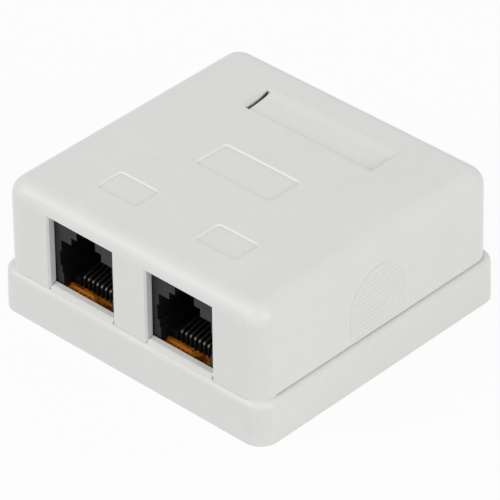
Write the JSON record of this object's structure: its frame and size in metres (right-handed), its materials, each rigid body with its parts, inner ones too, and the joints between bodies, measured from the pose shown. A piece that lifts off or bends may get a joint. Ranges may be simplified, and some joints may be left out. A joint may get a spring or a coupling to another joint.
{
  "type": "surface mount jack box",
  "caption": "Low square wall box with a lift-off cover and modular jack sockets side by side in one end, over a board with wire terminals.",
  "frame": {"origin": "middle of the underside, where the box lies on the wall", "axes": "+X across the ports, -Y out of the ports, +Z away from the wall"},
  "size_m": [0.061, 0.059, 0.026],
  "materials": {
    "housing_white": "satin moulded white plastic",
    "socket_grey": "moulded charcoal plastic",
    "guide_amber": "clear-toned amber plastic",
    "comb_black": "black moulded plastic",
    "spring_gold": "plated spring wire",
    "board_green": "green solder mask",
    "terminal_ivory": "moulded ivory plastic",
    "blade_tinned": "tinned sheet",
    "screw_zinc": "bright zinc"
  },
  "bodies": {
    "base": {"base_shell": "housing_white", "board_screws": "screw_zinc", "circuit_board": "board_green", "contact_carrier_left": "guide_amber", "contact_carrier_right": "guide_amber", "contact_comb_left": "comb_black", "contact_comb_right": "comb_black", "contact_spring_left_1": "spring_gold", "contact_spring_left_2": "spring_gold", "contact_spring_left_3": "spring_gold", "contact_spring_left_4": "spring_gold", "contact_spring_left_5": "spring_gold", "contact_spring_left_6": "spring_gold", "contact_spring_left_7": "spring_gold", "contact_spring_left_8": "spring_gold", "contact_spring_right_1": "spring_gold", "contact_spring_right_2": "spring_gold", "contact_spring_right_3": "spring_gold", "contact_spring_right_4": "spring_gold", "contact_spring_right_5": "spring_gold", "contact_spring_right_6": "spring_gold", "contact_spring_right_7": "spring_gold", "contact_spring_right_8": "spring_gold", "idc_blade_left_1": "blade_tinned", "idc_blade_left_2": "blade_tinned", "idc_blade_left_3": "blade_tinned", "idc_blade_left_4": "blade_tinned", "idc_blade_left_5": "blade_tinned", "idc_blade_left_6": "blade_tinned", "idc_blade_left_7": "blade_tinned", "idc_blade_left_8": "blade_tinned", "idc_blade_right_1": "blade_tinned", "idc_blade_right_2": "blade_tinned", "idc_blade_right_3": "blade_tinned", "idc_blade_right_4": "blade_tinned", "idc_blade_right_5": "blade_tinned", "idc_blade_right_6": "blade_tinned", "idc_blade_right_7": "blade_tinned", "idc_blade_right_8": "blade_tinned", "idc_block_left": "terminal_ivory", "idc_block_right": "terminal_ivory", "jack_housing_left": "socket_grey", "jack_housing_right": "socket_grey"},
    "cover": {"cover_shell": "housing_white"}
  },
  "joints": [
    {"name": "cover_lift", "type": "slide", "parent": "base", "child": "cover", "axis": [0, 0, 1], "range_m": [0, 0.03]}
  ]
}
